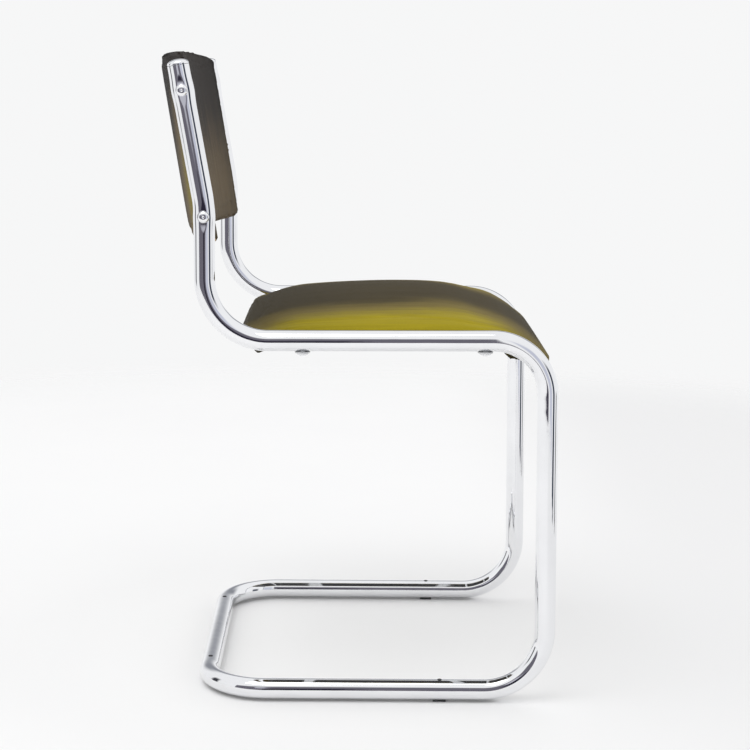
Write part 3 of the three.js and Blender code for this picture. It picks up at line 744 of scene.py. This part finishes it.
def underside_drop(along, across):
    """How far the gathered cloth hangs below the board: bunched at the rear corners, and in a
    hem where it is folded under at the front."""
    across = abs(across)
    gather_along, gather_across, gather_radius = 0.058, 0.186, 0.014
    hem_along, hem_radius = 0.372, 0.015
    corner = math.exp(-((along - gather_along) / gather_radius) ** 2
                      - ((across - gather_across) / gather_radius) ** 2)
    folds = 0.5 + 0.5 * math.sin(math.atan2(along - 0.09, across - 0.15) * 22)
    hem = math.exp(-((along - hem_along) / hem_radius) ** 2) * (0.25 + 0.75 * between(across, 0.10, 0.17))
    return corner * (0.0090 + 0.0020 * folds) + hem * (0.0068 + 0.0010 * math.sin(across * 420))


seat_solids = ("seat_pad", "seat_board")
seat = stuffing("seat_upholstery", seat_solids, 0.005, 0.002)
puffed(seat, 0.005, lambda point: 1.0 if seat_place(point)[1] < board_bottom + 0.006 else 0.0)
subdivided(seat)
filled_out(seat, seat_solids, 0.0016)
eased(seat, 2)
covering(seat, "seat_board", 0.0010)
corner_drop, corner_round, foot_spread = 0.0042, 0.0065, 0.0038
skin_tip = max(seat_place(vertex.co)[0] for vertex in seat.data.vertices)
for vertex in seat.data.vertices:
    along, height = seat_place(vertex.co)
    across = abs(vertex.co.y)
    # The rear edge leans in towards its top, and its corners are rounder and lower
    corner = (1 - between(along, 0.045, 0.115)) * between(across, 0.09, 0.19)
    height -= corner_drop * corner * between(height, 0.0, 0.015)
    along -= foot_spread * (1 - between(along, 0.045, 0.10)) * (1 - between(height, -0.006, 0.012))
    along += corner_round * corner * between(height, 0.0, 0.020)
    # The nose is drawn out to the cloth's tip, and stands fuller towards the rails
    along += (cloth_tip - skin_tip) * max(0, (along - nose_start) / (skin_tip - nose_start)) ** 2
    fullness = 0.0025 + 0.0030 * (across / 0.16) ** 2
    height += fullness * between(along, 0.388, 0.414) * between(height, -0.003, 0.006)
    # Underneath it lies flat on the board, but for the gathers and the hem
    if height < board_bottom + 0.0015:
        height = board_bottom - 0.0004
    height -= underside_drop(along, across) * (1 - between(height, board_bottom, board_bottom + 0.010))
    vertex.co = seat_point(along, vertex.co.y, height)
    kept_within(vertex, seat_side)
smooth(seat.data, 75)

# Changeant cloth: fine ribs of dark brown over olive yellow, with the yellow stronger by a mask into which the
# looks below paint sheen, and the colour darker by a Shade factor into which they paint shade
ribbed_cloth, given = new_group("ribbed cloth", {
    "Glow": 0.0, "Across": 0.0, "Along": 0.0, "Rib": 0.0011, "Shade": 1.0, "Dark": (0.050, 0.037, 0.013, 1),
    "Middle": (0.165, 0.125, 0.030, 1), "Bright": (0.33, 0.265, 0.012, 1),
}, ("Color", "Roughness", "Height"))
tree = ribbed_cloth
place = own_place(tree)
slub = clouds(tree, place, 38.0, 5.0)
fuzz = clouds(tree, place, 900.0, 2.0)


def streaks(across_scale, along_scale, detail):
    """Noise drawn out along the cloth's yarns, above and below zero."""
    place = add_node(tree, "ShaderNodeCombineXYZ", {0: product(tree, given["Across"], across_scale),
                                                    1: product(tree, given["Along"], along_scale)}).outputs[0]
    return maths(tree, "SUBTRACT", clouds(tree, place, 1.0, detail), 0.5)


yarns = streaks(420.0, 9.0, 4.0)
broad = streaks(95.0, 5.0, 3.0)
rib_phase = product(tree, maths(tree, "DIVIDE", given["Across"], given["Rib"]), 2 * math.pi)
ribs = maths(tree, "SINE", total(tree, rib_phase, product(tree, slub, 3.0)))
thread_phase = product(tree, maths(tree, "DIVIDE", given["Along"], given["Rib"]), 3.4 * math.pi)
threads = maths(tree, "SINE", thread_phase)
weave = product(tree, total(tree, ribs, product(tree, threads, 0.6)), 0.3)
glow = total(tree, given["Glow"], product(tree, maths(tree, "SUBTRACT", slub, 0.5), 0.12),
             product(tree, weave, 0.05), product(tree, broad, 0.22), product(tree, yarns, 0.22), clamp=True)
cloth_colour = blended(tree, rising(tree, glow, 0.0, 0.55), given["Dark"], given["Middle"])
cloth_colour = blended(tree, rising(tree, glow, 0.45, 1.0), cloth_colour, given["Bright"])
value = total(tree, 0.93, product(tree, weave, 0.14), product(tree, fuzz, 0.14), product(tree, yarns, 0.45))
shaded = add_node(tree, "ShaderNodeHueSaturation", {
    "Color": cloth_colour, "Value": product(tree, value, given["Shade"])}).outputs[0]
add_node(tree, "NodeGroupOutput", {
    "Color": shaded, "Roughness": maths(tree, "SUBTRACT", 0.72, product(tree, weave, 0.1)),
    "Height": total(tree, weave, product(tree, fuzz, 0.3))})


def cloth_finish(name, look, along, colours):
    """The look gives the glow, which is painted sheen, and the painted shade from the object's own coordinates,
    and the yarns run along one of them."""
    material, tree, shader = new_material(name)
    places = dict(zip("xyz", split(tree, own_place(tree))))
    glow, shade = look(tree, **places)
    coated(tree, shader, ribbed_cloth, {"Glow": glow, "Shade": shade, "Across": places["y"],
                                        "Along": places[along], **colours}, 0.0002, 0.5)
    for label, value in (("Specular IOR Level", 0.12), ("Sheen Weight", 0.02), ("Sheen Roughness", 0.4)):
        shader.inputs[label].default_value = value
    return material


def seat_look(tree, x, y, z):
    """Painted sheen: olive at the sides, less of it at the rear and the rolled front; painted shade: darker at
    the rear, at the rolled front and under the board.
    """
    # Painted sheen: olive yellow along the sides, less at the rear and the nose
    inner_edge = maths(tree, "SUBTRACT", 0.078, product(tree, rising(tree, x, 0.02, 0.15), 0.05))
    side = rising(tree, maths(tree, "ABSOLUTE", y), inner_edge, 0.203)
    rear = total(tree, 0.55, product(tree, rising(tree, x, -0.165, -0.03), 0.45))
    front = maths(tree, "SUBTRACT", 1.0, product(tree, rising(tree, x, 0.13, 0.235), 0.45))
    # Painted shade: darker at the rear, at the rolled nose and under the board
    rear_shade = total(tree, 0.72, product(tree, rising(tree, x, -0.15, 0.03), 0.28))
    nose_shade = maths(tree, "SUBTRACT", 1.0, product(tree, rising(tree, x, 0.15, 0.24), 0.22))
    under_shade = total(tree, 0.12, product(tree, rising(tree, z, 0.4245, 0.4315), 0.88))
    under_shade = maths(tree, "MAXIMUM", under_shade, rising(tree, x, 0.20, 0.22))
    return product(tree, side, front, rear), product(tree, rear_shade, nose_shade, under_shade)


seat.data.materials.append(cloth_finish("seat cloth", seat_look, "x", {}))
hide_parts("seat_pad")
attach(seat, "root")


# The seat's underside lining: thin black non-woven cloth stapled over the turned-under edges,
# slightly slack between its staples.
lining_start, lining_end = 0.0546, 0.3795
lining_half = 0.1843
lining_height = -0.0119
lining_corner = 0.046
lining_thickness = 0.0004
rows, columns = 44, 50
lining_points, lining_faces = [], []
for row in range(rows + 1):
    for column in range(columns + 1):
        along = lining_start + (lining_end - lining_start) * row / rows
        inset = max(0, lining_corner - (along - lining_start))
        half = lining_half - lining_corner + math.sqrt(max(0, lining_corner ** 2 - inset ** 2))
        across = half * (2 * column / columns - 1)
        reach = min(along - lining_start, lining_end - along, half - abs(across))
        slack = min(1, max(0, reach / 0.02))
        ripple = noise.noise(Vector((along * 24, across * 24, 3.1))) * 0.00025
        lining_points.append(seat_point(along, across, lining_height - 0.0001 * slack + ripple * slack
                                        - underside_drop(along, across)))
for row in range(rows):
    for column in range(columns):
        first = row * (columns + 1) + column
        beyond = first + columns + 1
        lining_faces.append((first, beyond, beyond + 1, first + 1))
lining = new_piece("underside_lining", mesh_of("underside_lining", lining_points, lining_faces))
thicken = lining.modifiers.new("thicken", "SOLIDIFY")
thicken.thickness = lining_thickness
thicken.offset = 0
applied(lining)
material, tree, shader = new_material("black lining")
place = own_place(tree)
fibres = clouds(tree, place, 700.0, 8.0, distortion=1.5)
bonds = add_node(tree, "ShaderNodeTexVoronoi", {"Vector": place, "Scale": 420.0}).outputs["Distance"]
put_in(tree, shader.inputs["Base Color"],
       blended(tree, fibres, (0.012, 0.012, 0.013, 1), (0.055, 0.055, 0.058, 1)))
put_in(tree, shader.inputs["Roughness"], total(tree, product(tree, fibres, 0.3), 0.65))
embossed(tree, shader, total(tree, fibres, bonds), 0.0001, 0.6)
lining.data.materials.append(material)
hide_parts("seat_underside_cover")
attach(lining, "root")

# Staples: 10 mm crowns of round wire, one every 31 mm round the lining's edge, but none where the
# straps cross it
staple_gap = 0.031
staple_inset = 0.006
staple_half = 0.005
wire_radius = 0.0004
wire_sides = 8
wire_bends = ((-1, 0.0006), (-1, -0.0001), (-0.9, -0.0005), (0.9, -0.0005), (1, -0.0001), (1, 0.0006))
strap_places = {"rear": 0.115, "front": 0.331}
strap_clearance = 0.014
staple_points, staple_faces = [], []


def add_staple(along, across, heading):
    path = []
    for share, rise in wire_bends:
        here = along + math.cos(heading) * staple_half * share
        beside = across + math.sin(heading) * staple_half * share
        path.append(seat_point(here, beside, lining_height - 0.0003 + rise - underside_drop(here, beside)))
    base = len(staple_points)
    for index, point in enumerate(path):
        ahead = (path[min(index + 1, len(path) - 1)] - path[max(index - 1, 0)]).normalized()
        first = ahead.orthogonal().normalized()
        second = ahead.cross(first)
        for corner in range(wire_sides):
            turn = 2 * math.pi * corner / wire_sides
            staple_points.append(point + (first * math.cos(turn) + second * math.sin(turn)) * wire_radius)
    for ring in range(base, base + (len(path) - 1) * wire_sides, wire_sides):
        staple_faces.extend(band(ring, ring + wire_sides, wire_sides))


for sign in (-1, 1):
    for step in range(9):
        along = 0.108 + staple_gap * step
        if all(abs(along - strap) > strap_clearance for strap in strap_places.values()):
            add_staple(along, sign * (lining_half - staple_inset), 0.0)
for step in range(11):
    across = -0.155 + staple_gap * step
    add_staple(lining_end - staple_inset, across, math.pi / 2)
    if abs(across) < lining_half - lining_corner:
        add_staple(lining_start + staple_inset, across, math.pi / 2)
staples = new_piece("lining_staples", mesh_of("lining_staples", staple_points, staple_faces))
staples.data.materials.append(fitting_zinc)
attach(staples, "root")


# The two cross straps: 18 x 2 mm flat steel with round ends, screwed up into rivet nuts in the
# rails and into the board, which they carry.
strap_top = -0.012646
strap_bottom = strap_top - 0.002
strap_half_width = 0.009


def hung(points, along, across, height):
    """Puts points at a place along and across the rails and at a height, tilted with the rails."""
    return [seat_point(along + point.x, across + point.y, height + point.z) for point in points]


strap_outline = []
for end in (1, -1):
    for step in range(17):
        turn = (0 if end > 0 else math.pi) + math.pi * step / 16
        strap_outline.append((strap_half_width * math.cos(turn),
                              end * rail_offset + strap_half_width * math.sin(turn)))
strap_points = [Vector((x, y, z)) for z in (strap_bottom, strap_top) for x, y in strap_outline]
for end, along in strap_places.items():
    strap = bevelled(f"{end}_strap", hung(strap_points, along, 0, 0), prism(strap_points), 0.0009)
    strap.data.materials.append(strap_zinc)
    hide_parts(f"{end}_seat_strap")
    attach(strap, "root")


# The strap screws: chromed dome-head screws with a hexagon socket, each on a thin washer, that
# go up through a strap's end into the rail. The board screws are plain zinc wood screws with a
# smaller socket.
shank_radius = 0.0024
washer_bore = 0.0026
rim_bevel = 0.0002
board_screw_offset = 0.120


def dome_profile(head, height, socket, depth, seat=0.0):
    """The outline of a domed head below its seat, from its shank to its socket."""
    rim = height * 0.10
    profile = [(shank_radius, seat + 0.004), (shank_radius, seat), (head - 0.0003, seat),
               (head, seat - 0.0003), (head, seat - rim)]
    mouth = socket * 1.25
    for step in range(1, 10):
        turn = step * math.pi / 20
        profile.append((mouth + (head - mouth) * math.cos(turn), seat - rim - (height - rim) * math.sin(turn)))
    top = seat - height
    profile += [(socket * 1.18, top), (socket * 1.02, top + 0.0002), (socket, top + 0.0004),
                (socket * 0.98, top + depth), (0.0002, top + depth + 0.0004)]
    return profile


def headed(profile, segments):
    """A screw's head, with a socket of six sides."""
    return turned(profile, segments, range(len(profile) - 4, len(profile)))


def on_washer(head, outer, thickness, segments):
    """Adds the washer under a screw's head."""
    points, faces = head
    rim = outer - rim_bevel
    washer_points, washer_faces = turned([
        (washer_bore, -thickness), (washer_bore, 0), (rim, 0), (outer, -rim_bevel),
        (outer, rim_bevel - thickness), (rim, -thickness)], segments)
    faces = faces + [tuple(len(points) + index for index in face) for face in washer_faces]
    return points + washer_points, faces


dull_chrome = chrome_finish("dulled chrome", 0.40, 0.3, 0.0001, metal=0.35)
for end, along in strap_places.items():
    for side, sign in sides.items():
        points, faces = on_washer(headed(dome_profile(0.0067, 0.0026, 0.0015, 0.0014, -0.0004), 48),
                                  0.0070, 0.0004, 48)
        points = hung(points, along, sign * rail_offset, strap_bottom)
        screw = new_piece(f"{side}_{end}_rail_screw", mesh_of("rail_screw", points, faces))
        screw.data.materials.append(dull_chrome)
        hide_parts(f"{side}_{end}_strap_screw")
        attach(screw, "root")

        points, faces = headed(dome_profile(0.0040, 0.0016, 0.0013, 0.0008), 40)
        points = hung(points, along, sign * board_screw_offset, strap_bottom)
        wood_screw = new_piece(f"{side}_{end}_wood_screw", mesh_of("wood_screw", points, faces))
        wood_screw.data.materials.append(fitting_zinc)
        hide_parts(f"{side}_{end}_board_screw")
        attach(wood_screw, "root")


# The backrest's upholstery: thin foam on both faces of the curved board, with one piece of the
# same cloth pulled round it. It is folded into pleats at the top corners and closed at the
# lower rear edge.
backrest_origin = Vector((-0.189524, 0, 0.661137))
backrest_lean = math.radians(9.358)
backrest_radius = 0.82299
curve_centre = 0.80047
backrest_up = Vector((-math.sin(backrest_lean), 0, math.cos(backrest_lean)))
backrest_out = Vector((math.cos(backrest_lean), 0, math.sin(backrest_lean)))
cloth_half = 0.203
arch_height = 0.010
corner_reach = 0.022
seam_height = -0.094
seam_depth = 0.0008
pleat_depth = 0.0007


def backrest_place(point):
    """A point's place across the backrest's curve, up its face above the screws' middle, and its
    depth in front of the board's middle."""
    offset = Vector(point) - backrest_origin
    ahead, up = offset.dot(backrest_out), offset.dot(backrest_up)
    turn = math.atan2(offset.y, curve_centre - ahead)
    return turn * backrest_radius, up, backrest_radius - math.hypot(curve_centre - ahead, offset.y)


def backrest_point(across, up, depth):
    turn = across / backrest_radius
    ahead = curve_centre - (backrest_radius - depth) * math.cos(turn)
    return (backrest_origin + backrest_out * ahead + backrest_up * up
            + Vector((0, (backrest_radius - depth) * math.sin(turn), 0)))


def arch(across):
    """How far the top edge stands above its ends."""
    return arch_height * (1 - (across / cloth_half) ** 2)


back_solids = ("backrest_front_pad", "backrest_rear_pad", "backrest_board")
back = stuffing("backrest_upholstery", back_solids, 0.004, 0.0015)
puffed(back, 0.004, lambda point: 0.5 * max(0, min(1, (abs(point.y) - 0.185) / 0.012)))
subdivided(back)
filled_out(back, back_solids, 0.0014)
eased(back, 1)
covering(back, "backrest_board", 0.0012)
# The corners are squared up, so that the board's corners stay inside the cloth
for vertex in back.data.vertices:
    across, up, depth = backrest_place(vertex.co)
    side = (abs(across) - (0.2029 - corner_reach)) / corner_reach
    above = up - (0.1115 + arch(across) - corner_reach)
    below = corner_reach - 0.1125 - up
    rise = max(above, below) / corner_reach
    if side > 0 and rise > 0:
        stretch = 0.8 * (math.hypot(side, rise) / (side ** 6 + rise ** 6) ** (1 / 6) - 1)
        across += math.copysign(stretch * side * corner_reach, across)
        up += math.copysign(stretch * rise * corner_reach, up)
        vertex.co = backrest_point(across, up, depth)
back.data.update()
for _ in range(3):
    covering(back, "backrest_board", 0.0030)
back.data.update()
# Pleats fan out from the top corners, and the seam is sunk along the lower rear edge
normals = [vertex.normal.copy() for vertex in back.data.vertices]
for vertex, normal in zip(back.data.vertices, normals):
    across, up, depth = backrest_place(vertex.co)
    from_top = 0.111 + arch(across) - up
    from_end = cloth_half - abs(across)
    reach = math.hypot(from_top, from_end)
    if reach < 0.045 and from_top < 0.04:
        fan = math.atan2(from_top, max(from_end, 0.0001))
        vertex.co += normal * pleat_depth * math.sin(fan * 13) * math.exp(-(reach / 0.020) ** 2)
    if depth < -0.006 and abs(up - seam_height) < 0.004:
        vertex.co -= normal * seam_depth * math.exp(-((up - seam_height) / 0.0018) ** 2)
    kept_within(vertex, 0.2028)
smooth(back.data, 75)


def back_look(tree, x, y, z):
    """Painted sheen: brown with a little olive low down, at the ends and on the rear beside the posts;
    painted shade: darker towards the ends, at the rims and in the middle of the rear."""
    beside = maths(tree, "ABSOLUTE", y)
    ahead = total(tree, product(tree, x, backrest_out.x), product(tree, z, backrest_out.z))
    ahead = maths(tree, "SUBTRACT", ahead, backrest_origin.dot(backrest_out))
    # Painted sheen: olive low down, at the ends and on the rear beside the posts
    low = product(tree, rising(tree, z, 0.745, 0.600), 0.36)
    end = product(tree, rising(tree, beside, 0.188, 0.201), rising(tree, ahead, -0.011, 0.001), 0.28)
    rear = product(tree, rising(tree, beside, 0.112, 0.190), rising(tree, ahead, -0.002, -0.010),
                   rising(tree, z, 0.775, 0.70), 0.40)
    # Painted shade: darker towards the ends, at the rims and in the middle of the rear
    edge_shade = product(tree, rising(tree, beside, 0.08, 0.205), 0.28)
    rim_shade = product(tree, rising(tree, beside, 0.180, 0.200), 0.38)
    rear_shade = product(tree, rising(tree, beside, 0.170, 0.085), 0.46, rising(tree, ahead, -0.006, -0.018))
    shade = maths(tree, "SUBTRACT", 1.0, total(tree, edge_shade, rim_shade, rear_shade))
    return total(tree, low, end, rear, clamp=True), shade


back.data.materials.append(cloth_finish("backrest cloth", back_look, "z", {
    "Dark": (0.020, 0.015, 0.012, 1), "Middle": (0.155, 0.112, 0.058, 1)}))
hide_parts("backrest_front_pad", "backrest_rear_pad")
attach(back, "root")


# The backrest screws: chromed dome-head screws with a hexagon socket, two in each post, pulled
# down on a cupped washer into the flattened wall of the tube.
for side, sign in sides.items():
    for level, at in (("upper", upper_screw), ("lower", lower_screw)):
        points, faces = on_washer(headed(dome_profile(0.0066, 0.0034, 0.0014, 0.0024, -0.0007), 56),
                                  0.0072, 0.0007, 56)
        points = placed(points, (at.x, sign * (rail_offset + tube_radius - press_depth), at.z), (0, -sign, 0))
        screw = new_piece(f"{side}_{level}_post_screw", mesh_of("post_screw", points, faces))
        screw.data.materials.append(small_chrome)
        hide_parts(f"{side}_{level}_backrest_screw")
        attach(screw, "root")
